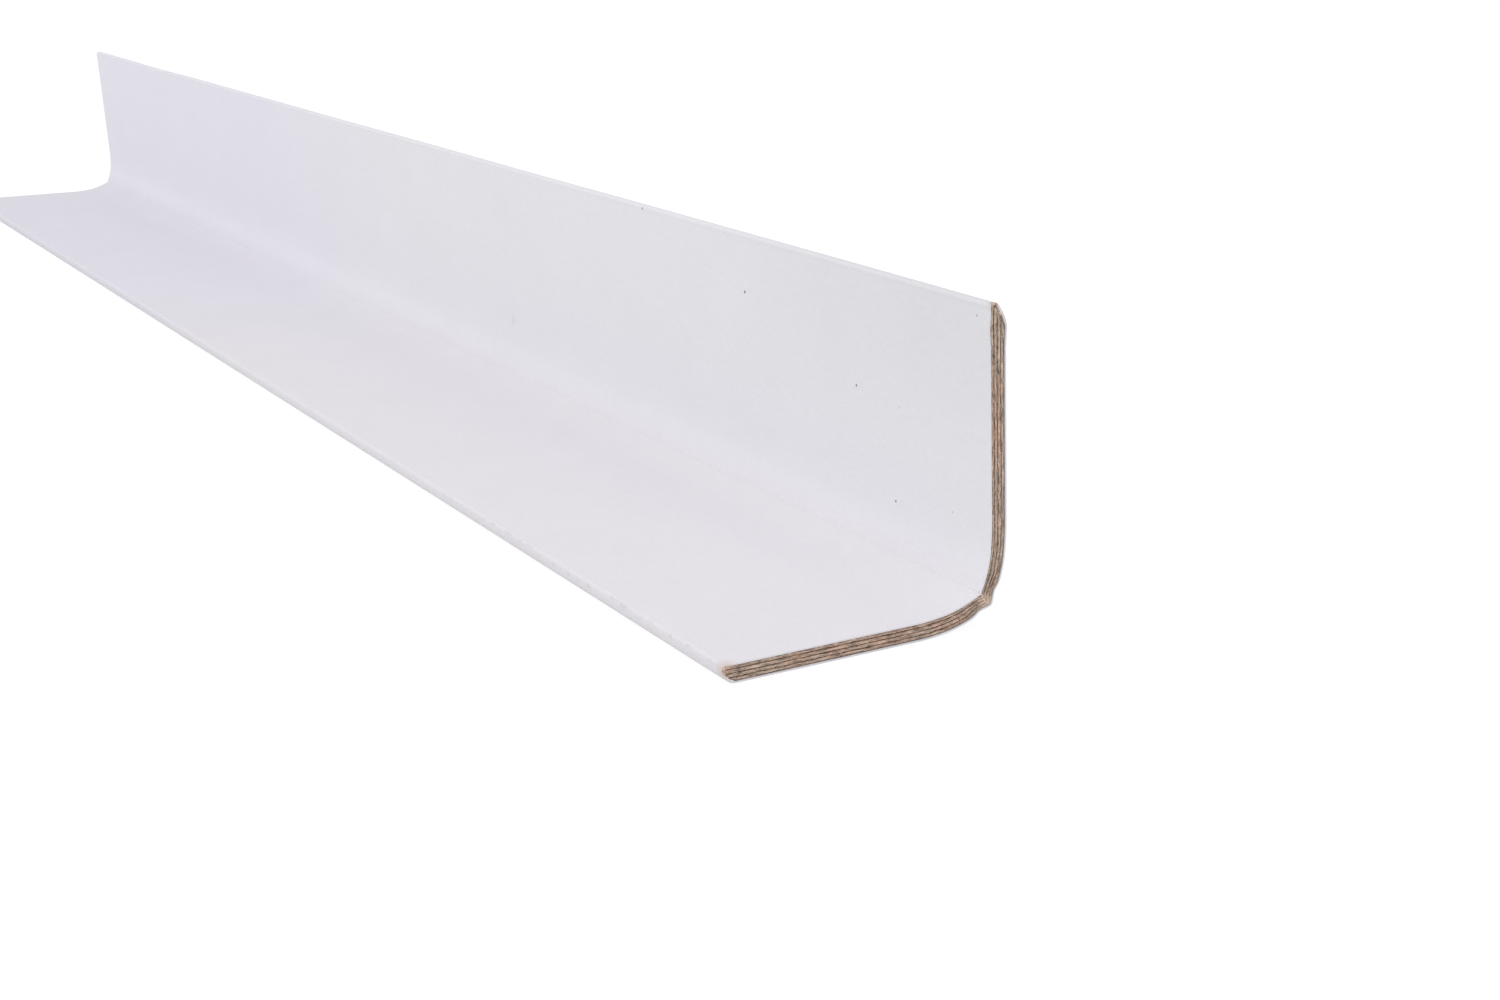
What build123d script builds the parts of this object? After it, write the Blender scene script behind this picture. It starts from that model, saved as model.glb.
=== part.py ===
from build123d import *
import math
import os

# Edge protector: a folded angle of laminated paperboard. It lies on the floor on one leg, the
# other leg stands up. X runs along the length, the standing leg is on the +Y side.

# Driving dimensions, in millimetres and degrees
length = 500.0              # from one cut end to the other
leg_width = 50.0            # each leg, from the sharp corner of its outer faces to its tip
board_thickness = 3.0       # plies and both liners together
liner_thickness = 0.25      # white paper on each face
ply_count = 4               # brown plies, glued face to face
fold_angle = 87.5           # between the two flat legs, closed a little past square

# Bend between the flat legs, measured on the outer face
bend_start = 17.0           # from the sharp corner to where a leg stops being flat
easing_radius = 60.0        # first and gentlest part of the bend
easing_angle = 5.0          # turn of that part
bend_angle = 30.0           # turn of one leg from its flat to the crease

# Crease in the middle of the bend, where the board was pressed before folding
notch_angle = 70.0          # opening of the groove in the inner face
notch_depth = 0.8
bead_radius = 0.7           # bead pressed out of the outer face
bead_height = 0.4
hollow_radius = 3.5         # shallow hollow on each side of the bead
hollow_depth = 0.3
hollow_distance = 1.9       # from the middle of the crease to the middle of a hollow
soft_edge_radius = 0.4      # edges that stand out
soft_root_radius = 0.3      # edges that lie in

# Tips: the outer side tapers towards a narrow blunt end
upright_taper_length = 4.0
upright_taper_depth = 1.7
base_taper_length = 2.0
base_taper_depth = 1.3
tip_radius = 0.45           # edge between the blunt end and the inner face

# Glue lines, cut into both ends of the plies
glue_line_width = 0.2
glue_line_depth = 0.3
glue_line_tip_gap = 2.5     # from the tip to where a glue line starts
glue_line_crease_gap = 1.6  # from the middle of the crease to where it stops

tolerance = 0.001

half_fold = math.radians(fold_angle / 2)
easing_turn = math.radians(easing_angle)
bend_turn = math.radians(bend_angle)
fold_line = Vector(math.cos(half_fold), math.sin(half_fold))
fold_normal = Vector(math.sin(half_fold), -math.cos(half_fold))
fold_plane = Plane(origin=(0, 0, 0), x_dir=fold_line, z_dir=fold_normal)


def main_bend_radius():
    """Radius that brings the outer face to the fold line after the whole turn."""
    slope = math.tan(half_fold)
    easing_end_x = bend_start - easing_radius * math.sin(easing_turn)
    easing_end_y = easing_radius * (1 - math.cos(easing_turn))
    run = math.sin(bend_turn) - math.sin(easing_turn)
    rise = math.cos(easing_turn) - math.cos(bend_turn)
    return (slope * easing_end_x - easing_end_y) / (rise + slope * run)


bend_radius = main_bend_radius()
easing_centre = Vector(bend_start, easing_radius)
bend_centre = easing_centre - Vector(math.sin(easing_turn), math.cos(easing_turn)) * (
    easing_radius - bend_radius
)


def turn_at_crease(height):
    """Turn, in degrees, at which a line this high above the outer face meets the fold line."""
    cosine = -fold_normal.dot(bend_centre) / (bend_radius - height)
    return math.degrees(math.acos(cosine) - half_fold)


def leg_line(start_x, height, end_turn):
    """Flat and bend of the lying leg, at a height above its outer face."""
    flat = Line((start_x, height), (bend_start, height))
    easing = JernArc(flat @ 1, flat % 1, easing_radius - height, -easing_angle)
    bend = JernArc(easing @ 1, easing % 1, bend_radius - height, -(end_turn - easing_angle))
    return [flat, easing, bend]


def crease_point(height):
    """Where a line this high above the outer face meets the fold line."""
    return leg_line(leg_width, height, turn_at_crease(height))[-1] @ 1


def leg_face(inset, taper_length, taper_depth):
    """Section of one leg, lying, from its tip to the fold line, reduced all round by inset."""
    low = inset
    high = board_thickness - inset
    taper_radius = (taper_length**2 + taper_depth**2) / (2 * taper_depth)
    taper_turn = math.degrees(math.asin((taper_length - inset) / (taper_radius - inset)))
    edge_radius = tip_radius - inset

    outer = leg_line(leg_width - taper_length, low, turn_at_crease(low))
    inner = leg_line(leg_width - tip_radius, high, turn_at_crease(high))
    taper = JernArc(outer[0] @ 0, (1, 0), taper_radius - inset, taper_turn)
    blunt_end = Line(taper @ 1, (leg_width - inset, high - edge_radius))
    edge = JernArc(blunt_end @ 1, (0, 1), edge_radius, 90)
    seam = Line(inner[-1] @ 1, outer[-1] @ 1)
    return make_face([*outer, taper, blunt_end, edge, *inner, seam])


def disc(centre, radius):
    return Pos(centre.X, centre.Y) * Circle(radius)


def hollow(inset):
    """Shallow hollow beside the bead, on the lying leg."""
    along = Vector(math.cos(bend_turn), -math.sin(bend_turn))
    outwards = Vector(-math.sin(bend_turn), -math.cos(bend_turn))
    centre = crease_point(0) + along * hollow_distance + outwards * (hollow_radius - hollow_depth)
    return disc(centre, hollow_radius + inset)


def board_section(inset=0.0):
    """Section of the whole board, with the sharp outer corner at the origin."""
    base = leg_face(inset, base_taper_length, base_taper_depth)
    upright = leg_face(inset, upright_taper_length, upright_taper_depth)
    section = base + mirror(upright, about=fold_plane)

    beside_bead = hollow(inset)
    bead_centre = crease_point(0) + fold_line * (bead_radius - bead_height)
    section = section - beside_bead - mirror(beside_bead, about=fold_plane)
    section += disc(bead_centre, bead_radius - inset)

    half_notch = math.radians(notch_angle / 2)
    inner_corner = crease_point(board_thickness)
    root = inner_corner - fold_line * (notch_depth + inset / math.sin(half_notch))
    rise = fold_line * board_thickness
    spread = fold_normal * board_thickness * math.tan(half_notch)
    section -= make_face(Polyline(root, root + rise + spread, root + rise - spread, close=True))

    crease = [v for v in section.vertices() if (v.center() - root).length < 2 * board_thickness]
    lie_in = [v for v in crease if (v.center() - root).length < tolerance]
    lie_in += [v for v in crease if (v.center() - bead_centre).length < bead_radius + tolerance]
    stand_out = [v for v in crease if v not in lie_in]
    section = fillet(lie_in, soft_root_radius + inset)
    stand_out = [
        v
        for v in section.vertices()
        if min((v.center() - edge.center()).length for edge in stand_out) < tolerance
    ]
    return fillet(stand_out, soft_edge_radius - inset)


def glue_line(height):
    """End of one glue line between two plies, on the lying leg."""
    low = height - glue_line_width / 2
    high = height + glue_line_width / 2
    stop = turn_at_crease(height) - math.degrees(glue_line_crease_gap / (bend_radius - height))
    lower = leg_line(leg_width - glue_line_tip_gap, low, stop)
    upper = leg_line(leg_width - glue_line_tip_gap, high, stop)
    first = Line(lower[0] @ 0, upper[0] @ 0)
    last = Line(lower[-1] @ 1, upper[-1] @ 1)
    return make_face([*lower, *upper, first, last])


def ply_board(section, end_plane):
    """The glued plies at full length, with the glue lines cut into both ends."""
    plies = extrude(end_plane * section, length)
    ply_thickness = (board_thickness - 2 * liner_thickness) / ply_count
    for number in range(1, ply_count):
        lying = glue_line(liner_thickness + number * ply_thickness)
        for line in (lying, mirror(lying, about=fold_plane)):
            groove = extrude(end_plane * line, glue_line_depth)
            plies = plies - groove - Pos(glue_line_depth - length, 0, 0) * groove
    return plies


board = board_section()
core = board_section(liner_thickness)

# The board's box stands on Z = 0 and is centred on X and Y. The section is drawn from the tip
# of the lying leg, which points to -Y, and is extruded from the +X end.
extent = board.bounding_box()
section_centre = (extent.min.X + extent.max.X) / 2
near_end = Plane(
    origin=(length / 2, section_centre, -extent.min.Y), x_dir=(0, -1, 0), z_dir=(-1, 0, 0)
)

os.makedirs("parts", exist_ok=True)
export_step(ply_board(core, near_end), "parts/board_core.step")
export_step(extrude(near_end * (board - core), length), "parts/white_liner.step")
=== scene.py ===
"""Edge protector of laminated paperboard: paper, plies, glue films, torn fibres and the stage.

Everything is in metres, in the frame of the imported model: X runs along the length, the photographed
cut end is at the highest X, one leg lies on the floor and the other stands up on the +Y side.
A place in the board's section is given by "along", the distance from the sharp outer corner along
a leg, and "height", the distance from the leg's outer face.
"""

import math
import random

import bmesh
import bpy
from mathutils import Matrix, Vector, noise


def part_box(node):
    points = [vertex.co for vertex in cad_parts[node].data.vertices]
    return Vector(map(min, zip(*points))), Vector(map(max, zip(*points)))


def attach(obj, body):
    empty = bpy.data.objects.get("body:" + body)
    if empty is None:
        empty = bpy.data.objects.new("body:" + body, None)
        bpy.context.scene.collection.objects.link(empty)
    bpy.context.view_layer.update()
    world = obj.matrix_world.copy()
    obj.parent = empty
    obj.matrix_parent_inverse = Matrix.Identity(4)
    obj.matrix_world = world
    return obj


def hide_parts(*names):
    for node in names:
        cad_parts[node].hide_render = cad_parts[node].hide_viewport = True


bl_info = {
    "name": "Edge Protector",
    "version": (1, 0, 0),
    "blender": (4, 5, 0),
    "location": "3D View > Sidebar > Edge Protector",
    "description": "Models a folded paperboard edge protector and the stage it stands on",
    "category": "Object",
}

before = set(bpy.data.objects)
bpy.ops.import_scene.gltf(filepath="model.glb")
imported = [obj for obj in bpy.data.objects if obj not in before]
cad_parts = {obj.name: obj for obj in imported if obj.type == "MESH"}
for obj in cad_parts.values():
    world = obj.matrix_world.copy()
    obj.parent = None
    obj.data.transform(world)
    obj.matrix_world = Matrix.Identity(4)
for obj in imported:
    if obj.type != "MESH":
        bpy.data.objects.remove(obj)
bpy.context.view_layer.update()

NEAR = 0.00002  # a point counts as being at a place within this distance
SAME = 0.000001  # two places this close are one
END_FACING = 0.9  # a face looks along the board if its normal's X is over this

# The crease: where its fan of columns starts, and how the press has shaped it
FAN_TURN = math.radians(13)
BEAD_HEIGHT = 0.0001
BEAD_REACH = 0.0008
HOLLOW_DEPTH = 0.00035
HOLLOW_DISTANCE = 0.0021
HOLLOW_REACH = 0.0011
PLY_NOTCH = (0.0005, 0.00074)  # depth and reach of the notch in the inner face
PAPER_NOTCH = (0.00006, 0.0004)
CREASE_SHIFT = (0, 0, 0.00042)  # the crease lies a little off the fold plane
CREASE_SHIFT_REACH = 0.012

# The tips: length and depth of their tapers, and the paper that is tucked round them
TIP_ZONE = 0.004  # both tapers lie within this distance of a tip
LYING_TAPER = (0.002, 0.0013)
STANDING_TAPER = (0.004, 0.0017)
TIP_ROUNDING = 0.0006  # round the inner corner of a tip's blunt end
ROUNDING_ROOM = 0.0001  # flat paper kept between that rounding and the next column
LYING_HEM = 0.0002  # how much thicker the paper is where it is tucked round a tip
STANDING_HEM = 0.00012
HEM_SHARES = (0.85, 0.12)  # of the taper's length, from the tip, between which a hem runs
HEM_ROOM = 0.0002  # paper this far above the taper's depth still belongs to the hem

# Plies and glue films
PLY_INSET = 0.00015  # from the paper's cut end back to that of the plies
FILM_INSET = 0.0003  # and to the films, which also lie this far inside the paper
GLUE_CLEARANCE = 0.000015  # between a glue film and the ply or paper beside it
INNER_GAP = 1.6  # the gaps beside the paper, set against half a gap between plies
OUTER_GAP = 1.8
CUT_ROUNDING = 0.00008
CUT_DEPTH = 0.0002  # points this close to the paper's cut end are cut fibres
CUT_ROUGHNESS = 0.0001  # how far they stand up or lie back
CUT_FINENESS = 17300  # how often that changes, per metre
CUT_SEED = 7

# Columns and rows of faces
EASING_STEPS = 4
BEND_STEPS = 5
TAPER_STEPS = 8
LAYER_CREASE_STEPS = 24
LAYER_ROWS = 25
PAPER_ROWS = 80

# The splay of the near standing tip, and the pushes that bow and wave the standing leg a little,
# each with its place along X, its offset and its reach
SPLAY = 1.13
SPLAY_LENGTH = 0.004
SPLAY_REACH = 0.0026
SPLAY_PICK = (0.0005, 0.003, 0.0003)  # the points this close to the tip's root are splayed
PUSHES = (
    (-0.18, (0, -0.0001, -0.00012), 0.048),
    (-0.02, (0, -0.00012, -0.00002), 0.048),
    (0.10, (0, 0, -0.00006), 0.040),
    (0.249, (0, -0.00018, 0), 0.045),
)

# Torn fibres. The tuft at the crease gets narrower towards the outer face.
FIBRE_RADIUS = 0.00005
FIBRE_LENGTH = 0.001
FIBRE_INSET = 0.0002  # from the near end back to the middle of a fibre
FIBRE_SEED = 21
TUFT_SHARES = (0.22, 0.64)  # of the thickness: from the inner face to the tuft, and its depth
TUFT_WIDTH = 0.00055
TUFT_NARROWING = 0.00025
# At the standing tip: distance from the tip, share of the thickness, shortest and longest fibre
TIP_TUFTS = ((0.0007, 0.66, (0.5, 0.75)), (0.0015, 0.46, (0.5, 1.0)))
# At the corner of the lying tip: how far behind the near end they start, and for how far
CORNER_START = 0.0007
CORNER_LENGTH = 0.0024

CAMERA_PLACE = (0.485026, -0.161839, 0.110078)
CAMERA_TURN = (math.radians(73.08), 0, math.radians(58.954))
CAMERA_LENS = 49.9


# Settings

LENGTH = {"unit": "LENGTH", "subtype": "DISTANCE"}
TURN = {"unit": "ROTATION", "subtype": "ANGLE"}
COLOUR = {"subtype": "COLOR", "size": 3, "min": 0, "max": 1}


class EdgeProtectorSizes(bpy.types.PropertyGroup):
    """Sizes of the board and of what is on it."""

    leg_width: bpy.props.FloatProperty(
        name="Leg width", description="From the sharp corner of the outer faces to a leg's tip",
        default=0.050, min=0.03, max=0.1, **LENGTH,
    )
    board_thickness: bpy.props.FloatProperty(
        name="Board thickness", description="Plies and paper together",
        default=0.003, min=0.002, max=0.006, **LENGTH,
    )
    paper_thickness: bpy.props.FloatProperty(
        name="Paper thickness", description="White paper on each face",
        default=0.00025, min=0.0001, max=0.0006, **LENGTH,
    )
    ply_count: bpy.props.IntProperty(
        name="Plies", description="Brown plies glued face to face", default=4, min=2, max=8
    )
    glue_gap: bpy.props.FloatProperty(
        name="Glue gap", description="Width of the gap between two plies",
        default=0.00017, min=0.00002, max=0.0003, **LENGTH,
    )
    fold_angle: bpy.props.FloatProperty(
        name="Fold angle", description="Angle between the two flat legs",
        default=math.radians(87.5), min=math.radians(80), max=math.radians(100), **TURN,
    )
    bend_start: bpy.props.FloatProperty(
        name="Bend start", description="From the sharp corner to where a leg stops being flat",
        default=0.017, min=0.01, max=0.03, **LENGTH,
    )
    easing_radius: bpy.props.FloatProperty(
        name="Easing radius", description="Outer radius of the gentle first part of the bend",
        default=0.060, min=0.03, max=0.1, **LENGTH,
    )
    easing_turn: bpy.props.FloatProperty(
        name="Easing turn", description="Turn of the gentle first part of the bend",
        default=math.radians(5), **TURN,
    )
    bend_turn: bpy.props.FloatProperty(
        name="Bend turn", description="Turn of one leg from its flat to the crease",
        default=math.radians(30), **TURN,
    )
    fibre_count: bpy.props.IntProperty(
        name="Torn fibres", description="Loose fibres at the crease", default=40, min=0, max=90
    )


class EdgeProtectorColours(bpy.types.PropertyGroup):
    """Colours of the paper, the plies and the glue."""

    paper: bpy.props.FloatVectorProperty(
        name="Paper", description="White paper", default=(0.755, 0.75, 0.785), **COLOUR
    )
    ply: bpy.props.FloatVectorProperty(
        name="Ply", description="Brown paper plies at a cut",
        default=(0.545, 0.42, 0.337), **COLOUR,
    )
    glue: bpy.props.FloatVectorProperty(
        name="Glue", description="Glue between the plies", default=(0.085, 0.05, 0.04), **COLOUR
    )
    fibre: bpy.props.FloatVectorProperty(
        name="Fibre", description="Loose torn fibres", default=(0.86, 0.70, 0.58), **COLOUR
    )
    speck: bpy.props.FloatVectorProperty(
        name="Speck", description="Dark specks pressed into the paper",
        default=(0.16, 0.15, 0.17), **COLOUR,
    )


# The fold


class Fold:
    """Where the fold's flats, arcs and crease lie, worked out from the sizes."""

    def __init__(self, sizes):
        low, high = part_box("white_liner")
        self.near_x = high.x
        self.far_x = low.x
        self.leg_width = sizes.leg_width
        self.flat_end = sizes.leg_width - TIP_ZONE
        self.thickness = sizes.board_thickness
        self.lying_tip_y = low.y
        self.corner_y = low.y + sizes.leg_width
        self.half = sizes.fold_angle / 2
        self.bend_start = sizes.bend_start
        self.easing_radius = sizes.easing_radius
        self.easing_turn = sizes.easing_turn
        slope = math.tan(self.half)
        end_along = self.bend_start - self.easing_radius * math.sin(self.easing_turn)
        end_height = self.easing_radius * (1 - math.cos(self.easing_turn))
        run = math.sin(sizes.bend_turn) - math.sin(self.easing_turn)
        rise = math.cos(self.easing_turn) - math.cos(sizes.bend_turn)
        self.bend_radius = (slope * end_along - end_height) / (rise + slope * run)
        spare = self.easing_radius - self.bend_radius
        self.bend_centre = (
            self.bend_start - math.sin(self.easing_turn) * spare,
            self.easing_radius - math.cos(self.easing_turn) * spare,
        )
        # The fold plane's normal points away from the lying leg, its line up the crease
        self.normal = Vector((0, math.sin(self.half), math.cos(self.half)))
        self.line = Vector((0, -math.cos(self.half), math.sin(self.half)))
        self.corner = Vector((0, self.corner_y, 0))

    def lying(self, along, height, x=None):
        """A place in the section beside the lying leg, as a point of the frame."""
        return Vector((self.near_x if x is None else x, self.corner_y - along, height))

    def standing(self, along, height, x=None):
        """The same place beside the standing leg."""
        point = self.lying(along, height, x)
        offset = point - self.corner
        return point - 2 * offset.dot(self.normal) * self.normal

    def tips(self):
        """For each leg, the method that gives its places, its tip's taper and its hem."""
        return (
            (self.lying, LYING_TAPER, LYING_HEM), (self.standing, STANDING_TAPER, STANDING_HEM)
        )

    def bent(self, turn, height):
        """A place in the main bend of the lying leg, by its turn from the flat."""
        across, up = self.bend_centre
        radius = self.bend_radius - height
        return self.lying(across - radius * math.sin(turn), up - radius * math.cos(turn))

    def crease_turn(self, height):
        """Turn at which a line this high above the outer face meets the fold plane."""
        across, up = self.bend_centre
        reach = math.cos(self.half) * up - math.sin(self.half) * across
        return math.acos(reach / (self.bend_radius - height)) - self.half

    def pressed(self, share, height, notch_depth, notch_reach):
        """A place in the fan of the crease, which the press has shaped.

        Share runs from 0, where the fan starts, to 1, at the fold plane. The inner face has a
        notch, and the outer face a small bead between two hollows.
        """
        turn = FAN_TURN + (self.crease_turn(height) - FAN_TURN) * share
        away = (self.crease_turn(height) - turn) * (self.bend_radius - height)
        bead = BEAD_HEIGHT * math.exp(-((away / BEAD_REACH) ** 2))
        hollow = HOLLOW_DEPTH * math.exp(-(((away - HOLLOW_DISTANCE) / HOLLOW_REACH) ** 2))
        notch = notch_depth * max(0.0, 1 - away / notch_reach)
        inside = height / self.thickness
        push = (1 - inside) * (bead - hollow) + inside * notch
        return self.bent(turn, height) - push * self.line

    def along_and_depth(self, point):
        """Distance along the board from the crease, and height above the outer face."""

        def unrolled(centre, radius):
            aside, below = centre[0] - across, centre[1] - up
            return math.atan2(aside, below), radius - math.hypot(aside, below)

        easing_end = self.bend_start - self.easing_radius * self.easing_turn
        middle = self.crease_turn(self.thickness / 2) - self.easing_turn
        crease = easing_end - self.bend_radius * middle
        offset = point - self.corner
        side = offset.dot(self.normal)
        if side > 0:
            offset = offset - 2 * side * self.normal
        across, up = -offset.y, offset.z
        turn, depth = unrolled((self.bend_start, self.easing_radius), self.easing_radius)
        run = self.bend_start - self.easing_radius * turn
        if across >= self.bend_start:
            run, depth = across, up
        elif turn >= self.easing_turn:
            turn, depth = unrolled(self.bend_centre, self.bend_radius)
            run = easing_end - self.bend_radius * (turn - self.easing_turn)
        return math.copysign(max(run - crease, 0.0), side), depth


# Modelling by hand


def pick(piece, kind, test):
    """In edit mode, select the vertices, edges or faces that pass a test, and nothing else."""
    bpy.ops.mesh.select_mode(type=kind)
    bpy.ops.mesh.select_all(action="DESELECT")
    mesh = bmesh.from_edit_mesh(piece.data)
    items = {"VERT": mesh.verts, "EDGE": mesh.edges, "FACE": mesh.faces}[kind]
    found = [item for item in items if test(item)]
    for item in found:
        item.select_set(True)
    mesh.select_flush_mode()
    bmesh.update_edit_mesh(piece.data)
    return len(found)


def pick_at(piece, kind, *places):
    """Select what touches only the given places: one vertex, or the edge between two of them."""

    def at(item):
        return all(
            min((vertex.co - place).length for place in places) < NEAR
            for vertex in (item.verts if kind == "EDGE" else [item])
        )

    if not pick(piece, kind, at):
        raise RuntimeError(f"{piece.name}: nothing to select at {places}")


def extrude(offset):
    """Extrude the selected edges or faces and move what is new."""
    bpy.ops.mesh.extrude_region_move(
        TRANSFORM_OT_translate={"value": offset, "orient_type": "GLOBAL"}
    )


def push(offset, reach):
    """Move what is selected, and less and less of what lies round it."""
    bpy.ops.transform.translate(
        value=offset, use_proportional_edit=True, proportional_edit_falloff="SMOOTH",
        proportional_size=reach,
    )


def add(name, operator, **settings):
    """Add an object with an operator, and name it. It is the only selected one."""
    bpy.ops.object.select_all(action="DESELECT")
    operator(**settings)
    made = bpy.context.active_object
    made.name = name
    return made


def only(piece):
    """Leave edit mode and make this piece the only selected one."""
    if bpy.context.mode != "OBJECT":
        bpy.ops.object.mode_set(mode="OBJECT")
    bpy.ops.object.select_all(action="DESELECT")
    piece.select_set(True)
    bpy.context.view_layer.objects.active = piece


def edit(piece):
    """Make this piece the only selected one and go into edit mode."""
    only(piece)
    bpy.ops.object.mode_set(mode="EDIT")


def modify(piece, kind, **settings):
    """Add a modifier, set it up and apply it."""
    only(piece)
    modifier = piece.modifiers.new(kind.title(), kind)
    for name, value in settings.items():
        setattr(modifier, name, value)
    bpy.ops.object.modifier_apply(modifier=modifier.name)


def join(parts, name):
    """Join the parts into one piece."""
    only(parts[0])
    for part in parts:
        part.select_set(True)
    bpy.ops.object.join()
    parts[0].name = name
    parts[0].data.name = name
    return parts[0]


def extend(piece, edges):
    """Extrude an edge from place to place. Each edge is given by the places of its two ends."""
    low, high = edges[0]
    for next_low, next_high in edges[1:]:
        pick_at(piece, "EDGE", low, high)
        extrude(next_low - low)
        moved = high + next_low - low
        if (next_high - moved).length > SAME:
            pick_at(piece, "VERT", moved)
            bpy.ops.transform.translate(value=next_high - moved)
        low, high = next_low, next_high


def folded_strip(name, fold, low, high, notch, flat_steps, crease_steps):
    """A strip across the near end, between two heights, folded at the crease.

    The plane of the lying leg's flat is spun round the two centres of the bend, fanned out to the
    fold plane, and mirrored in it for the standing leg.
    """
    span = fold.flat_end - fold.bend_start
    piece = add(
        name, bpy.ops.mesh.primitive_plane_add, size=1, rotation=(0, math.pi / 2, 0),
        location=fold.lying(fold.bend_start + span / 2, (low + high) / 2),
    )
    piece.data.name = name
    piece.scale = (high - low, span, 1)
    bpy.ops.object.transform_apply()
    edit(piece)
    pick(piece, "EDGE", lambda edge: abs(edge.verts[0].co.y - edge.verts[1].co.y) > NEAR)
    bpy.ops.mesh.subdivide(number_cuts=flat_steps - 1)

    pick_at(piece, "EDGE", fold.lying(fold.bend_start, low), fold.lying(fold.bend_start, high))
    for centre, turn, steps in (
        (fold.lying(fold.bend_start, fold.easing_radius), fold.easing_turn, EASING_STEPS),
        (fold.lying(*fold.bend_centre), FAN_TURN - fold.easing_turn, BEND_STEPS),
    ):
        bpy.ops.mesh.spin(steps=steps, angle=turn, center=centre, axis=(-1, 0, 0))

    fan = [(fold.bent(FAN_TURN, low), fold.bent(FAN_TURN, high))]
    for step in range(1, crease_steps + 1):
        fan.append([fold.pressed(step / crease_steps, height, *notch) for height in (low, high)])
    extend(piece, fan)

    bpy.ops.object.mode_set(mode="OBJECT")
    hinge = add(
        "hinge", bpy.ops.object.empty_add, location=fold.corner,
        rotation=(math.pi / 2 - fold.half, 0, 0),
    )
    modify(
        piece, "MIRROR", mirror_object=hinge, use_axis=(False, True, False),
        merge_threshold=NEAR / 2,
    )
    bpy.data.objects.remove(hinge)
    edit(piece)
    pick(piece, "VERT", lambda vertex: abs((vertex.co - fold.corner).dot(fold.normal)) < NEAR)
    push(CREASE_SHIFT, CREASE_SHIFT_REACH)
    return piece


def taper_radius(taper):
    """Radius of the arc on which the outer face tapers towards a tip."""
    length, depth = taper
    return (length ** 2 + depth ** 2) / (2 * depth)


def taper_height(reach, taper):
    """Height of the outer face, this far past the start of its taper."""
    radius = taper_radius(taper)
    return radius - math.sqrt(radius ** 2 - reach ** 2)


def taper_reach(height, fold, taper, inset, hem):
    """How far out a line at this height runs inside the paper, before its taper or blunt end."""
    radius = taper_radius(taper)
    inside = TIP_ROUNDING - inset
    above = max(height - (fold.thickness - TIP_ROUNDING), 0.0)
    blunt_end = fold.leg_width - TIP_ROUNDING + math.sqrt(max(inside ** 2 - above ** 2, 0.0))
    if height >= radius:
        return blunt_end
    square = (radius - inset - hem) ** 2 - (radius - height) ** 2
    return min(fold.leg_width - taper[0] + math.sqrt(max(square, 0.0)), blunt_end)


def run_back(fold, inset, rows):
    """Extrude the strip from the near end to the far end, in rows that can be bent later.

    The first row is as long as the splayed part of the tip.
    """
    bpy.ops.mesh.select_mode(type="FACE")
    bpy.ops.mesh.select_all(action="SELECT")
    bpy.ops.transform.translate(value=(-inset, 0, 0))
    length = fold.near_x - SPLAY_LENGTH - (fold.far_x + inset)
    for step in (SPLAY_LENGTH - inset, *[length / rows] * rows):
        extrude((-step, 0, 0))
    bpy.ops.mesh.select_all(action="SELECT")
    bpy.ops.mesh.normals_make_consistent()


def inner_layer(name, fold, low, high, inset, end_inset, flat_steps, tip_steps):
    """A layer of the board inside the paper, between two heights, from end to end.

    The tapers cut it off at a slant at both tips.
    """
    layer = folded_strip(name, fold, low, high, PLY_NOTCH, flat_steps, LAYER_CREASE_STEPS)
    shortest = fold.flat_end + 3 * NEAR * tip_steps
    for place, taper, hem in fold.tips():
        ends = [
            max(taper_reach(height, fold, taper, inset, hem), shortest) for height in (low, high)
        ]
        edges = []
        for step in range(tip_steps + 1):
            places = [fold.flat_end + (end - fold.flat_end) * step / tip_steps for end in ends]
            edges.append((place(places[0], low), place(places[1], high)))
        extend(layer, edges)
    run_back(fold, end_inset, LAYER_ROWS)
    return layer


def settle(piece, fold):
    """The splayed tip at the near end, and the slight bow and waves that a long board takes.

    Every layer moves alike.
    """
    edit(piece)
    middle = fold.standing(fold.flat_end, fold.thickness / 2)

    def at_root(vertex):
        return all(abs(away) < reach for away, reach in zip(vertex.co - middle, SPLAY_PICK))

    if pick(piece, "VERT", at_root):
        bpy.ops.transform.resize(
            value=(1, SPLAY, 1), center_override=middle, use_proportional_edit=True,
            proportional_edit_falloff="SMOOTH", proportional_size=SPLAY_REACH,
        )
    for x, offset, reach in PUSHES:
        place = fold.standing(fold.leg_width, fold.thickness, x)
        mesh = bmesh.from_edit_mesh(piece.data)
        nearest = min(mesh.verts, key=lambda vertex: (vertex.co - place).length).co.copy()
        pick_at(piece, "VERT", nearest)
        push(offset, reach)
    only(piece)


def finish_piece(piece, finish, smooth_angle=60):
    """Shade the piece, give it its material and let it ride on the object."""
    only(piece)
    bpy.ops.object.shade_smooth_by_angle(angle=math.radians(smooth_angle))
    piece.data.materials.clear()
    piece.data.materials.append(finish.owner)
    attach(piece, "root")


# Materials


class Signal:
    """A value that varies over a surface: a node's output, with arithmetic."""

    def __init__(self, finish, socket):
        self.finish = finish
        self.socket = socket

    def math(self, operation, *values):
        inputs = dict(enumerate(values))
        return self.finish.node("ShaderNodeMath", {"operation": operation}, inputs)

    def __abs__(self):
        return self.math("ABSOLUTE", self)

    def __add__(self, other):
        return self.math("ADD", self, other)

    __radd__ = __add__

    def __sub__(self, other):
        return self.math("SUBTRACT", self, other)

    def __rsub__(self, other):
        return self.math("SUBTRACT", other, self)

    def __mul__(self, other):
        return self.math("MULTIPLY", self, other)

    __rmul__ = __mul__


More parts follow.
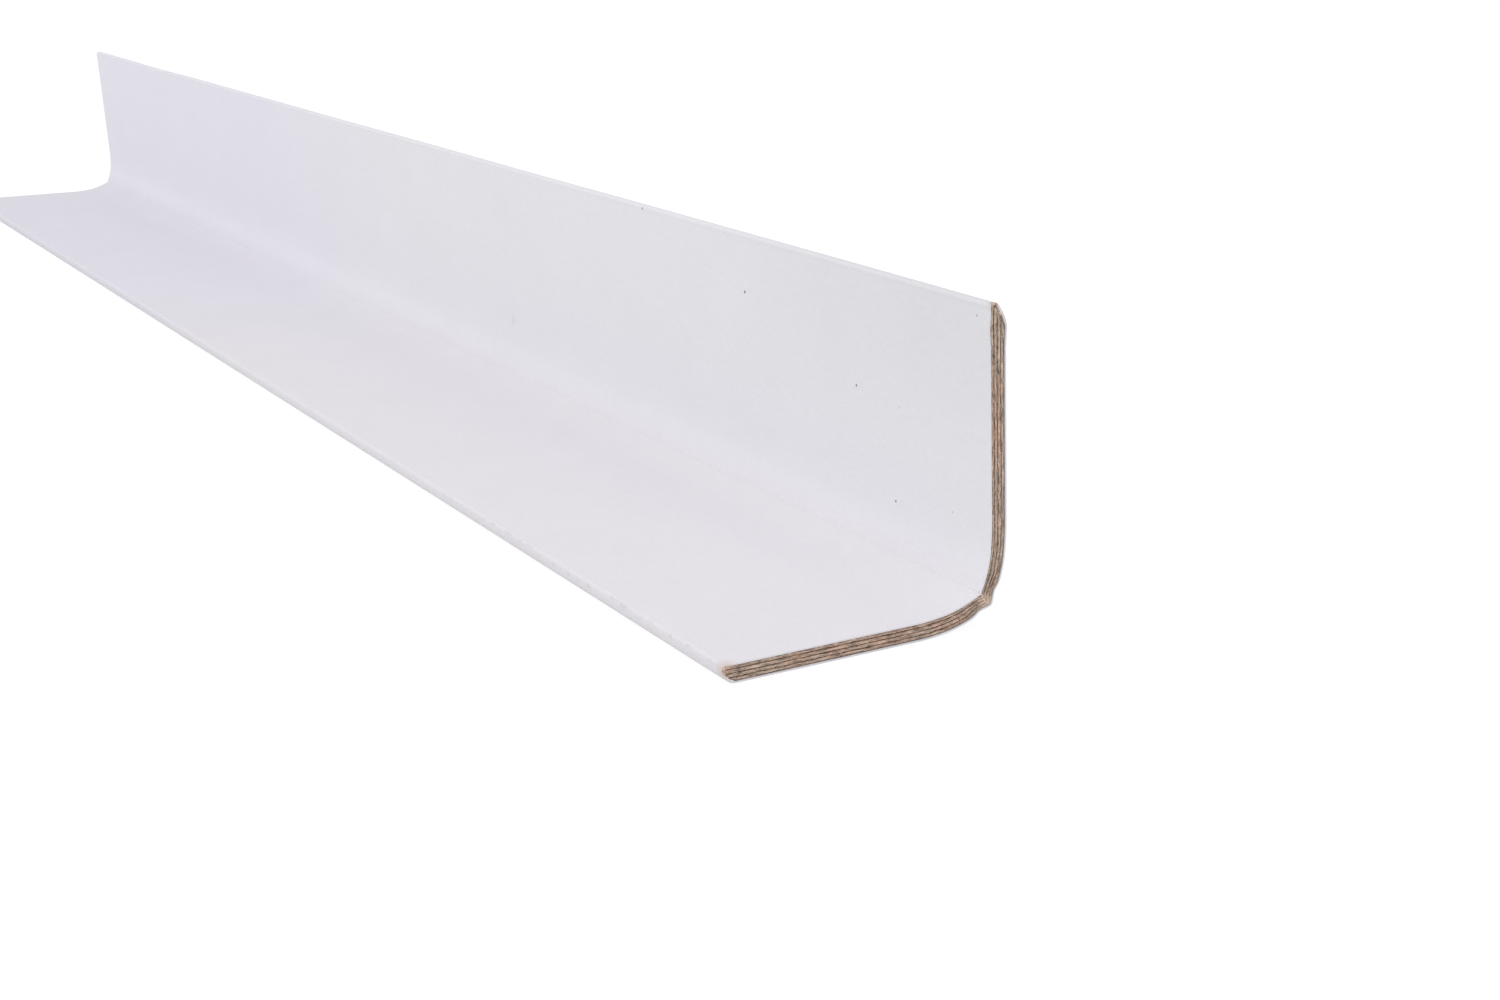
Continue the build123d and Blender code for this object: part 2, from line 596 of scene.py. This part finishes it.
class Finish:
    """The nodes of a procedural material, or of the world, under construction."""

    def __init__(self, owner):
        owner.use_nodes = True
        self.owner = owner
        self.tree = owner.node_tree
        self.tree.nodes.clear()

    def node(self, kind, settings=None, inputs=None, output=0):
        """Add a node with its settings and the values or links of its sockets.

        It gives back one output, or a tuple of outputs where several are named.
        """
        made = self.tree.nodes.new(kind)
        for name, value in (settings or {}).items():
            if name == "stops":
                elements = made.color_ramp.elements
                for index, (place, colour) in enumerate(value):
                    stop = elements[index] if index < 2 else elements.new(place)
                    stop.position = place
                    stop.color = (*colour, 1)
            else:
                setattr(made, name, value)
        for name, value in (inputs or {}).items():
            if isinstance(value, Signal):
                self.tree.links.new(value.socket, made.inputs[name])
            else:
                made.inputs[name].default_value = value
        if isinstance(output, tuple):
            return tuple(Signal(self, made.outputs[name]) for name in output)
        return Signal(self, made.outputs[output]) if made.outputs else None

    def place(self):
        """Where a point of the piece is, in metres."""
        return self.node("ShaderNodeTexCoord", output="Object")

    def axes(self, vector):
        return self.node("ShaderNodeSeparateXYZ", inputs={0: vector}, output=("X", "Y", "Z"))

    def stretched(self, place, scale, offset=(0, 0, 0)):
        return self.node(
            "ShaderNodeMapping", inputs={"Vector": place, "Scale": scale, "Location": offset}
        )

    def noise(self, place, scale, detail=2.0, roughness=0.5):
        return self.node(
            "ShaderNodeTexNoise",
            inputs={"Vector": place, "Scale": scale, "Detail": detail, "Roughness": roughness},
        )

    def between(self, value, low, high, out_low=0.0, out_high=1.0, smooth=True):
        """Map a range of values onto another, held at its ends."""
        return self.node(
            "ShaderNodeMapRange", {"interpolation_type": "SMOOTHSTEP" if smooth else "LINEAR"},
            {"Value": value, "From Min": low, "From Max": high, "To Min": out_low,
             "To Max": out_high},
        )

    def blend(self, share, first, second, mode="MIX"):
        """Mix two colours, each a link or three numbers."""
        first, second = (
            (*colour, 1) if isinstance(colour, tuple) else colour for colour in (first, second)
        )
        return self.node(
            "ShaderNodeMix", {"data_type": "RGBA", "blend_type": mode},
            {0: share, 6: first, 7: second}, output=2,
        )

    def shaded(self, colour, tone):
        """A colour made lighter or darker by a number."""
        return self.node(
            "ShaderNodeVectorMath", {"operation": "SCALE"}, {0: colour, "Scale": tone}
        )

    def distance(self, place, point):
        return self.node(
            "ShaderNodeVectorMath", {"operation": "DISTANCE"}, {0: place, 1: point},
            output="Value",
        )

    def surface(self, colour, roughness, height, bump, strength, specular):
        """Join up the shader, with the height as a bump of so many metres."""
        normal = self.node(
            "ShaderNodeBump", inputs={"Height": height, "Distance": bump, "Strength": strength}
        )
        shader = self.node(
            "ShaderNodeBsdfPrincipled",
            inputs={"Base Color": colour, "Roughness": roughness, "Normal": normal,
                    "Specular IOR Level": specular, "IOR": 1.45},
        )
        self.node("ShaderNodeOutputMaterial", inputs={"Surface": shader})
        return self


def scaled(colour, share):
    """Three numbers made lighter or darker, and still a colour."""
    return tuple(min(channel * share, 1) for channel in colour)


# Tints and painted shade that multiply the paper's colour, and colours of its worn places
FAR_TINT = (0.99, 0.985, 1.015)
# Painted shade: the lying leg darker, more so at the far end than at the near end
LYING_FAR_PAINTED_SHADE = (0.912, 0.904, 0.909)
LYING_NEAR_PAINTED_SHADE = (0.975, 0.957, 0.962)
# Painted shade along the rims of both tips
RIM_PAINTED_SHADE = (0.95, 0.95, 0.955)
# Painted shade over the upper part of the standing leg at the near end
NEAR_END_PAINTED_SHADE = (0.945, 0.945, 0.945)
SCUFFED = (0.30, 0.22, 0.17)
WORN = (0.62, 0.52, 0.46)

# Specks pressed into the paper of the near part: place in metres, radius, strength
PAPER_SPECKS = (
    ((0.1437, 0.0202, 0.0493), 0.00028, 0.8),
    ((0.1802, 0.0206, 0.0397), 0.00032, 1.0),
    ((0.2145, 0.0210, 0.0302), 0.00026, 1.0),
    ((0.2266, 0.0211, 0.0292), 0.00016, 0.5),
    ((0.2469, 0.0203, 0.0476), 0.00024, 0.5),
    ((0.2253, 0.0218, 0.0134), 0.00024, 0.9),
    ((0.2404, 0.0217, 0.0156), 0.00016, 0.6),
    ((0.2177, 0.0220, 0.0080), 0.00018, 0.6),
    ((0.2388, 0.0166, 0.0035), 0.00022, 0.9),
    ((0.2056, 0.0120, 0.0030), 0.00018, 0.5),
    ((0.0813, 0.0216, 0.0166), 0.0011, 0.10),
)
SPECK_FLATNESS = 0.3  # a speck on the standing leg is stretched in Y, to reach its face


def paper_tints_and_painted_shade(finish, colours, fold):
    """The paper's colour and how it changes over the board, partly as painted shade."""
    x, y, z = finish.axes(finish.place())
    far = tuple(channel * share for channel, share in zip(colours.paper, FAR_TINT))
    colour = finish.blend(finish.between(x, -0.08, 0.03), far, tuple(colours.paper))
    # Painted shade: the lying leg is darkened, more so towards the far end
    lying = finish.between(z, 0.004, 0.010, 1.0, 0.0)
    lying_painted_shade = finish.blend(
        finish.between(x, -0.15, 0.25, smooth=False), LYING_FAR_PAINTED_SHADE, LYING_NEAR_PAINTED_SHADE
    )
    colour = finish.blend(lying, colour, lying_painted_shade, "MULTIPLY")

    # Painted shade in a band along the rims of the lying and the standing tip
    edge = fold.lying_tip_y
    top = fold.standing(fold.leg_width, fold.thickness).z
    lying_rim_painted_shade = finish.between(y, edge + 0.0004, edge + 0.0012, 1.0, 0.0)
    lying_rim_painted_shade = lying_rim_painted_shade * finish.between(z, 0.0024, 0.0028) * lying
    standing_rim_painted_shade = finish.between(z, top - 0.0012, top - 0.0004)
    colour = finish.blend(lying_rim_painted_shade * 0.35 + standing_rim_painted_shade, colour, RIM_PAINTED_SHADE, "MULTIPLY")
    # Painted shade over the upper part of the standing leg at the near end, most at the top near
    # corner
    near_end_painted_shade = finish.between(x, 0.15, 0.246) * finish.between(z, 0.016, 0.0485)
    return finish.blend(near_end_painted_shade, colour, NEAR_END_PAINTED_SHADE, "MULTIPLY")


def paper_specks(finish, colour, speck, ragged):
    """Dark specks: those at known places, and small ones strewn over the rest."""
    place = finish.place()
    through = finish.stretched(place, (1, SPECK_FLATNESS, 1))
    for (x, y, z), radius, strength in PAPER_SPECKS:
        if z > 0.006:
            away = finish.distance(through, (x, y * SPECK_FLATNESS, z))
        else:
            away = finish.distance(place, (x, y, z))
        away = away + (ragged - 0.5) * radius
        mask = finish.between(away, radius * 0.45, radius * 1.15, strength, 0.0)
        colour = finish.blend(mask, colour, speck)

    cells = finish.node(
        "ShaderNodeTexVoronoi", inputs={"Vector": place, "Scale": 55.0}, output="Distance"
    )
    rare = finish.noise(place, 38, detail=0)
    small = finish.between(cells, 0.010, 0.022, 1.0, 0.0) * finish.between(rare, 0.60, 0.66)
    return finish.blend(small * 0.55, colour, speck)


def paper_wear(finish, colour, ply, fold, ragged):
    """The scuffed lower edge of the near part, and paper torn off at the near end's tips."""
    place = finish.place()
    x, y, z = finish.axes(place)
    edge = fold.lying_tip_y
    at_edge = finish.between(y, edge + 0.00008, edge + 0.00028, 1.0, 0.0)
    at_edge = at_edge * finish.between(z, 0.0018, 0.0022)
    dashes = finish.noise(finish.stretched(place, (420, 900, 900)), 1.0, detail=3)
    along = finish.between(x, 0.13, 0.17) * finish.between(x, 0.235, 0.25, 1.0, 0.3)
    scuff = at_edge * finish.between(dashes, 0.54, 0.62) * along
    colour = finish.blend(scuff * 0.16, colour, SCUFFED)

    fuzz = finish.noise(place, 2200, detail=3)
    torn_ply = finish.shaded(ply, finish.between(fuzz, 0.35, 0.65, 0.55, 1.25))
    lying_tip = fold.lying(fold.leg_width, fold.thickness * 0.75)
    standing_tip = fold.standing(fold.leg_width, fold.thickness * 0.72)
    tucked = fold.standing(fold.leg_width - 0.0022, 0.0004)
    for point, reach, is_torn in (
        (lying_tip, 0.0030, True), (standing_tip, 0.0016, True), (tucked, 0.0014, False)
    ):
        away = finish.distance(place, tuple(point)) + (ragged - 0.5) * 0.0014
        worn = finish.between(away, reach * 0.35, reach, 1.0, 0.0)
        colour = finish.blend(worn * 0.55, colour, WORN)
        if is_torn:
            bare = finish.between(away, 0.0004, 0.0010, 0.9, 0.0)
            colour = finish.blend(bare, colour, torn_ply)
    return colour


def paper_finish(colours, fold):
    """White paper: fine mottle, fibres, a few dark specks and worn edges."""
    finish = Finish(bpy.data.materials.new("white_paper"))
    place = finish.place()
    mottle = finish.noise(place, 2600, detail=3, roughness=0.65)
    clouds = finish.noise(place, 60, detail=3)
    fibres = finish.noise(finish.stretched(place, (500, 1500, 1500)), 1.0, detail=4)
    ragged = finish.noise(place, 4500, detail=2)
    tone = 1 + (mottle - 0.5) * 0.14 + (clouds - 0.5) * 0.035 + (fibres - 0.5) * 0.05

    colour = finish.shaded(paper_tints_and_painted_shade(finish, colours, fold), tone)
    colour = paper_specks(finish, colour, tuple(colours.speck), ragged)
    colour = paper_wear(finish, colour, tuple(colours.ply), fold, ragged)
    roughness = finish.between(mottle, 0.2, 0.8, 0.72, 0.88)
    height = mottle * 0.4 + fibres * 0.6
    return finish.surface(colour, roughness, height, bump=0.00003, strength=0.6, specular=0.3)


# Shades of the ply's colour from its darkest streaks to its lightest: place in the ramp, share
PLY_SHADES = ((0.05, 0.30), (0.32, 0.74), (0.60, 1.08), (0.95, 1.65))
RED_TINT = (1.04, 0.91, 0.87)
GREY_TINT = (0.97, 0.98, 0.97)


def ply_finish(colours):
    """Brown paper plies seen at a cut: pressed fibres that run along the board's section."""
    finish = Finish(bpy.data.materials.new("brown_board"))
    flat = finish.node("ShaderNodeUVMap", {"uv_map": "section"})
    place = finish.place()
    wander = finish.noise(place, 260)
    shifted = finish.node(
        "ShaderNodeVectorMath", {"operation": "ADD"},
        {0: flat, 1: finish.node("ShaderNodeCombineXYZ", inputs={"Y": wander * 0.35})},
    )
    streaks = finish.noise(finish.stretched(shifted, (0.42, 4.2, 1)), 1.0, 3, 0.6)
    flecks = finish.noise(finish.stretched(shifted, (1.3, 6.5, 1), (7, 3, 0)), 1.0, 2, 0.6)
    patch = finish.noise(place, 300)
    red = finish.noise(place, 190)

    grain = finish.between(streaks, 0.36, 0.64, smooth=False) * 0.62
    grain = grain + finish.between(flecks, 0.34, 0.66, smooth=False) * 0.38
    stops = [(stop, scaled(colours.ply, shade)) for stop, shade in PLY_SHADES]
    colour = finish.node("ShaderNodeValToRGB", {"stops": stops}, {"Fac": grain})
    warm = finish.between(red, 0.50, 0.64)
    colour = finish.blend(warm * 0.6, colour, RED_TINT, "MULTIPLY")
    cool = finish.between(red, 0.50, 0.38)
    colour = finish.blend(cool * 0.6, colour, GREY_TINT, "MULTIPLY")
    colour = finish.shaded(colour, 0.84 + patch * 0.3)

    from_crease = abs(finish.axes(flat)[0]) + (flecks - 0.5) * 2.2
    torn = finish.between(from_crease, 0.6, 1.7, 0.9, 0.0)
    colour = finish.blend(torn, colour, scaled(colours.fibre, 0.92))
    roughness = finish.between(flecks, 0.3, 0.7, 0.85, 0.95)
    return finish.surface(colour, roughness, grain, bump=0.00012, strength=0.8, specular=0.2)


def glue_finish(colours):
    """Dried glue between the plies: darker, and broken up along its line."""
    finish = Finish(bpy.data.materials.new("dried_glue"))
    broken = finish.noise(finish.place(), 700, detail=3)
    colour = finish.blend(
        finish.between(broken, 0.46, 0.66), tuple(colours.glue), scaled(colours.glue, 2.6)
    )
    roughness = finish.between(broken, 0.3, 0.7, 0.5, 0.8)
    return finish.surface(colour, roughness, broken, bump=0.00005, strength=0.6, specular=0.4)


def fibre_finish(colours, fold):
    """Loose paper fibres: pale at the crease and the lying tip, brown at the standing tip."""
    finish = Finish(bpy.data.materials.new("torn_fibre"))
    place = finish.place()
    _, y, z = finish.axes(place)
    change = finish.noise(place, 1400)
    top = fold.standing(fold.leg_width, 0).z
    edge = fold.lying_tip_y
    at_tip = finish.between(z, top - 0.0011, top - 0.0007)
    at_tip = at_tip + finish.between(y, edge + 0.0010, edge + 0.0018, 0.55, 0.0)
    colour = finish.blend(at_tip, tuple(colours.fibre), scaled(colours.ply, 0.62))
    colour = finish.shaded(colour, finish.between(change, 0.35, 0.65, 0.7, 1.15))
    roughness = finish.between(change, 0.3, 0.7, 0.85, 0.95)
    return finish.surface(colour, roughness, change, bump=0.00003, strength=0.5, specular=0.2)


# Pieces


class EDGEPROTECTOR_OT_paper(bpy.types.Operator):
    """Model the white paper that is wrapped round the plies"""

    bl_idname = "edge_protector.paper"
    bl_label = "White Paper"
    bl_options = {"REGISTER", "UNDO"}

    def execute(self, context):
        sizes = context.scene.edge_protector_sizes
        fold = Fold(sizes)
        thick = fold.thickness
        piece = folded_strip(
            "paper_wrap", fold, 0.0, thick, PAPER_NOTCH, flat_steps=10, crease_steps=34
        )
        for place, taper, _ in fold.tips():
            self.taper_tip(piece, fold, place, taper)
        run_back(fold, 0.0, PAPER_ROWS)

        def at_tip(vertex):
            corners = [place(fold.leg_width, thick, vertex.co.x) for place, *_ in fold.tips()]
            return min((vertex.co - corner).length for corner in corners) < NEAR

        pick(piece, "EDGE", lambda edge: all(at_tip(vertex) for vertex in edge.verts))
        bpy.ops.mesh.bevel(offset=TIP_ROUNDING, segments=7)
        pick(piece, "FACE", lambda face: abs(face.normal.x) > END_FACING)
        bpy.ops.mesh.delete(type="FACE")
        self.thicken_tips(piece, fold, sizes.paper_thickness)
        settle(piece, fold)
        finish_piece(piece, paper_finish(context.scene.edge_protector_colours, fold), 35)
        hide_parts("white_liner")
        return {"FINISHED"}

    def taper_tip(self, piece, fold, place, taper):
        """Extend the strip to one tip, where its outer face curves in to the blunt end."""
        edges = [(place(fold.flat_end, 0.0), place(fold.flat_end, fold.thickness))]
        start = fold.leg_width - taper[0]
        if start > fold.flat_end + NEAR:
            edges.append((place(start, 0.0), place(start, fold.thickness)))
        for step in range(1, TAPER_STEPS + 1):
            reach = taper[0] * step / TAPER_STEPS
            inner = start + (taper[0] - TIP_ROUNDING - ROUNDING_ROOM) * step / TAPER_STEPS
            if step == TAPER_STEPS:
                inner = fold.leg_width
            outer = place(start + reach, taper_height(reach, taper))
            edges.append((outer, place(inner, fold.thickness)))
        extend(piece, edges)

    def thicken_tips(self, piece, fold, thickness):
        """Give the paper its thickness, with more of it where it is tucked round the tips."""
        only(piece)
        thickest = thickness + max(LYING_HEM, STANDING_HEM)
        group = piece.vertex_groups.new(name="tucked")
        for place, taper, hem in fold.tips():
            share = hem / (thickest - thickness)
            for vertex in piece.data.vertices:
                start, stop = (
                    place(fold.leg_width - taper[0] * end, 0.0, vertex.co.x) for end in HEM_SHARES
                )
                run = (stop - start).normalized()
                along = (vertex.co - start).dot(run)
                height = (vertex.co - start - along * run).length
                if 0 < along < (stop - start).length and height < taper[1] + HEM_ROOM:
                    group.add([vertex.index], share, "REPLACE")
        modify(
            piece, "SOLIDIFY", thickness=thickest, offset=-1, use_rim=True, use_even_offset=True,
            vertex_group=group.name, thickness_vertex_group=thickness / thickest,
        )


def ply_heights(sizes):
    """Heights of each ply's two faces. The gaps beside the paper are a little wider."""
    paper = sizes.paper_thickness
    pitch = (sizes.board_thickness - 2 * paper) / sizes.ply_count
    half = sizes.glue_gap / 2
    heights = []
    for number in range(sizes.ply_count):
        first, last = number == 0, number == sizes.ply_count - 1
        low = paper + number * pitch + half * (INNER_GAP if first else 1)
        high = paper + (number + 1) * pitch - half * (OUTER_GAP if last else 1)
        heights.append((low, high))
    return heights


class EDGEPROTECTOR_OT_plies(bpy.types.Operator):
    """Model the brown plies, with fibrous cut ends"""

    bl_idname = "edge_protector.plies"
    bl_label = "Brown Plies"
    bl_options = {"REGISTER", "UNDO"}

    def execute(self, context):
        sizes = context.scene.edge_protector_sizes
        fold = Fold(sizes)
        inset = sizes.paper_thickness + NEAR
        plies = []
        for number, (low, high) in enumerate(ply_heights(sizes)):
            ply = inner_layer(
                f"ply_{number + 1}", fold, low, high, inset, PLY_INSET, flat_steps=24, tip_steps=4
            )
            self.roughen_ends(ply, fold, CUT_SEED + number)
            settle(ply, fold)
            plies.append(ply)
        piece = join(plies, "ply_board")
        self.map_section(piece, fold)
        finish_piece(piece, ply_finish(context.scene.edge_protector_colours))
        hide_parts("board_core")
        return {"FINISHED"}

    def roughen_ends(self, ply, fold, seed):
        """Round a ply's cut edges a little and raise its cut fibres.

        They are raised by their place, because a mesh's points come in another order each run.
        """
        pick(ply, "FACE", lambda face: abs(face.normal.x) > END_FACING)
        bpy.ops.mesh.region_to_loop()
        bpy.ops.mesh.bevel(offset=CUT_ROUNDING, segments=2)
        for side, cuts in ((1, 4), (-1, 3)):
            pick(ply, "FACE", lambda face: side * face.normal.x > END_FACING)
            bpy.ops.mesh.subdivide(number_cuts=cuts)
        mesh = bmesh.from_edit_mesh(ply.data)
        noise.seed_set(seed)
        for vertex in mesh.verts:
            if min(fold.near_x - vertex.co.x, vertex.co.x - fold.far_x) < CUT_DEPTH:
                vertex.co += CUT_ROUGHNESS * noise.noise_vector(vertex.co * CUT_FINENESS)
        bmesh.update_edit_mesh(ply.data)

    def map_section(self, piece, fold):
        """A UV map that follows the section, in millimetres along the board and through it."""
        layer = piece.data.uv_layers.new(name="section")
        for loop in piece.data.loops:
            along, depth = fold.along_and_depth(piece.data.vertices[loop.vertex_index].co)
            layer.data[loop.index].uv = (along * 1000, depth * 1000)


class EDGEPROTECTOR_OT_glue(bpy.types.Operator):
    """Model the glue films beside and between the plies"""

    bl_idname = "edge_protector.glue"
    bl_label = "Glue Films"
    bl_options = {"REGISTER", "UNDO"}

    def execute(self, context):
        sizes = context.scene.edge_protector_sizes
        fold = Fold(sizes)
        paper = sizes.paper_thickness
        faces = [height for ply in ply_heights(sizes) for height in ply]
        faces = [paper, *faces, fold.thickness - paper]
        films = []
        for low, high in zip(faces[::2], faces[1::2]):
            film = inner_layer(
                f"film_{len(films) + 1}", fold, low + GLUE_CLEARANCE, high - GLUE_CLEARANCE,
                paper + FILM_INSET, FILM_INSET, flat_steps=8, tip_steps=2,
            )
            settle(film, fold)
            films.append(film)
        piece = join(films, "glue_films")
        finish_piece(piece, glue_finish(context.scene.edge_protector_colours))
        return {"FINISHED"}


class EDGEPROTECTOR_OT_fibres(bpy.types.Operator):
    """Model the loose fibres, torn up at the crease and at both tips of the near end"""

    bl_idname = "edge_protector.fibres"
    bl_label = "Torn Fibres"
    bl_options = {"REGISTER", "UNDO"}

    def execute(self, context):
        sizes = context.scene.edge_protector_sizes
        fold = Fold(sizes)
        count = sizes.fibre_count
        if not count:
            return {"FINISHED"}
        pattern = self.fibre()
        chance = random.Random(FIBRE_SEED)
        made = []

        def sow(centre, spread, heading, scatter, stretch):
            place = centre + Vector(chance.uniform(-reach, reach) for reach in spread)
            way = heading.normalized() + scatter * Vector(
                (chance.uniform(-0.04, 0.04), chance.uniform(-1, 1), chance.uniform(-1, 1))
            )
            turn = way.to_track_quat("X", "Z").to_matrix().to_4x4()
            turn = turn @ Matrix.Rotation(chance.uniform(0, math.tau), 4, "X")
            size = Matrix.Diagonal((chance.uniform(*stretch), 1.0, 1.0, 1.0))
            fibre = pattern.copy()
            fibre.data = pattern.data.copy()
            fibre.data.transform(Matrix.Translation(place) @ turn @ size)
            context.collection.objects.link(fibre)
            made.append(fibre)

        face_x = fold.near_x - FIBRE_INSET
        inner = fold.pressed(1, fold.thickness, *PAPER_NOTCH) + Vector(CREASE_SHIFT)
        outer = fold.pressed(1, 0.0, *PAPER_NOTCH) + Vector(CREASE_SHIFT)
        before, through = TUFT_SHARES
        for number in range(count):
            depth = (number + 0.5) / count
            centre = inner.lerp(outer, before + through * depth)
            centre.x = face_x
            wide = TUFT_WIDTH - TUFT_NARROWING * depth
            sow(centre, (0.00003, wide, wide), fold.line, 0.65, (0.5, 1.1))

        upright = fold.standing(1, 0) - fold.standing(0, 0)
        for from_tip, share, stretch in TIP_TUFTS:
            centre = fold.standing(fold.leg_width - from_tip, fold.thickness * share, face_x)
            for _ in range(count // 2):
                sow(centre, (0.00004, 0.0004, 0.00025), upright, 0.5, stretch)

        corner = fold.lying(fold.leg_width - 0.0005, fold.thickness - 0.00035)
        backwards = Vector((-1, -0.1, -0.1))
        for number in range(count // 2):
            behind = CORNER_START + CORNER_LENGTH * number / (count // 2)
            centre = corner - Vector((behind, 0, 0))
            sow(centre, (0.0002, 0.00022, 0.00018), backwards, 0.35, (0.6, 1.0))

        bpy.data.objects.remove(pattern)
        piece = join(made, "torn_fibres")
        finish_piece(piece, fibre_finish(context.scene.edge_protector_colours, fold))
        return {"FINISHED"}

    def fibre(self):
        """One fibre, a flat curved sliver along X at the origin, with thin ends."""
        pattern = add(
            "fibre", bpy.ops.mesh.primitive_cylinder_add, vertices=6, radius=FIBRE_RADIUS,
            depth=FIBRE_LENGTH, rotation=(0, math.pi / 2, 0),
        )
        bpy.ops.object.transform_apply()
        edit(pattern)
        half = FIBRE_LENGTH / 2
        pick(pattern, "EDGE", lambda edge: abs(edge.verts[0].co.x - edge.verts[1].co.x) > half)
        bpy.ops.mesh.subdivide(number_cuts=5)
        bpy.ops.mesh.select_all(action="SELECT")
        bpy.ops.transform.resize(value=(1, 1, 0.5), center_override=(0, 0, 0))
        for end in (-half, half):
            pick(pattern, "VERT", lambda vertex: abs(vertex.co.x - end) < NEAR)
            bpy.ops.transform.resize(value=(1, 0.3, 0.3), center_override=(end, 0, 0))
        for middle, bend in ((0.0, 0.00011), (0.00033, -0.00005)):
            pick(pattern, "VERT", lambda vertex: abs(vertex.co.x - middle) < 2 * NEAR)
            push((0, bend, bend / 3), half)
        bpy.ops.mesh.select_all(action="SELECT")
        bpy.ops.mesh.normals_make_consistent()
        only(pattern)
        return pattern


# Stage


def add_light(name, location, target, size, power):
    """A soft square light that looks at a point."""
    lamp = add(name, bpy.ops.object.light_add, type="AREA", location=location)
    lamp.data.shape = "SQUARE"
    lamp.data.size = size
    lamp.data.energy = power
    aim = Vector(target) - Vector(location)
    lamp.rotation_euler = aim.to_track_quat("-Z", "Y").to_euler()


def two_faced(finish, output, unseen, seen):
    """Put out one shader to light the object, and another for what is seen directly.

    That is by the camera, and by rays that reflections and glass send on.
    """
    camera, glossy, through = finish.node(
        "ShaderNodeLightPath", output=("Is Camera Ray", "Is Glossy Ray", "Is Transmission Ray")
    )
    directly = camera.math("MAXIMUM", camera, glossy.math("MAXIMUM", glossy, through))
    shader = finish.node("ShaderNodeMixShader", inputs={0: directly, 1: unseen, 2: seen})
    finish.node(output, inputs={"Surface": shader})


class EDGEPROTECTOR_OT_stage(bpy.types.Operator):
    """Set up the white floor, the soft lights and the camera"""

    bl_idname = "edge_protector.stage"
    bl_label = "Stage"
    bl_options = {"REGISTER", "UNDO"}

    def execute(self, context):
        scene = context.scene
        scene.view_settings.view_transform = "Standard"
        self.lay_floor()

        scene.world = bpy.data.worlds.new("studio")
        sky = Finish(scene.world)
        dim, white = (
            sky.node("ShaderNodeBackground", inputs={"Color": (1, 1, 1, 1), "Strength": strength})
            for strength in (0.725, 1.0)
        )
        two_faced(sky, "ShaderNodeOutputWorld", dim, white)

        add_light("top_light", (0.1, -0.25, 1.5), (0.1, 0, 0), size=1.6, power=5.9)
        add_light("side_light", (-0.25, -1.3, 0.6), (0, 0, 0), size=1.2, power=5.3)
        add_light("end_light", (1.4, 0.1, 0.5), (0.1, 0, 0), size=0.8, power=2.8)

        camera = add(
            "camera", bpy.ops.object.camera_add, location=CAMERA_PLACE, rotation=CAMERA_TURN
        )
        camera.data.sensor_width = 36
        camera.data.lens = CAMERA_LENS
        camera.data.clip_start = 0.01
        camera.data.clip_end = 30
        scene.camera = camera
        return {"FINISHED"}

    def lay_floor(self):
        """A white floor that keeps a faint shadow."""
        floor = add("floor", bpy.ops.mesh.primitive_plane_add, size=12, location=(0, 0, 0))
        finish = Finish(bpy.data.materials.new("studio_floor"))
        paint, faint = (
            finish.node("ShaderNodeBsdfDiffuse", inputs={"Color": (grey, grey, grey, 1)})
            for grey in (0.8, 0.16)
        )
        glow = finish.node("ShaderNodeEmission", inputs={"Color": (1, 1, 1, 1), "Strength": 0.9})
        white = finish.node("ShaderNodeAddShader", inputs={0: faint, 1: glow})
        two_faced(finish, "ShaderNodeOutputMaterial", paint, white)
        floor.data.materials.append(finish.owner)


class EDGEPROTECTOR_PT_panel(bpy.types.Panel):
    """The pieces, their sizes and their colours"""

    bl_idname = "EDGEPROTECTOR_PT_panel"
    bl_label = "Edge Protector"
    bl_space_type = "VIEW_3D"
    bl_region_type = "UI"
    bl_category = "Edge Protector"

    def draw(self, context):
        layout = self.layout
        for operator in OPERATORS:
            layout.operator(operator.bl_idname)
        for group in (context.scene.edge_protector_sizes, context.scene.edge_protector_colours):
            box = layout.box()
            for name in group.__annotations__:
                box.prop(group, name)


OPERATORS = (
    EDGEPROTECTOR_OT_paper,
    EDGEPROTECTOR_OT_plies,
    EDGEPROTECTOR_OT_glue,
    EDGEPROTECTOR_OT_fibres,
    EDGEPROTECTOR_OT_stage,
)
CLASSES = (EdgeProtectorSizes, EdgeProtectorColours, *OPERATORS, EDGEPROTECTOR_PT_panel)


def register():
    for cls in CLASSES:
        bpy.utils.register_class(cls)
    bpy.types.Scene.edge_protector_sizes = bpy.props.PointerProperty(type=EdgeProtectorSizes)
    bpy.types.Scene.edge_protector_colours = bpy.props.PointerProperty(type=EdgeProtectorColours)


def unregister():
    del bpy.types.Scene.edge_protector_colours
    del bpy.types.Scene.edge_protector_sizes
    for cls in reversed(CLASSES):
        bpy.utils.unregister_class(cls)


def main():
    register()
    bpy.ops.edge_protector.paper()
    bpy.ops.edge_protector.plies()
    bpy.ops.edge_protector.glue()
    bpy.ops.edge_protector.fibres()
    bpy.ops.edge_protector.stage()


if __name__ == "__main__":
    main()
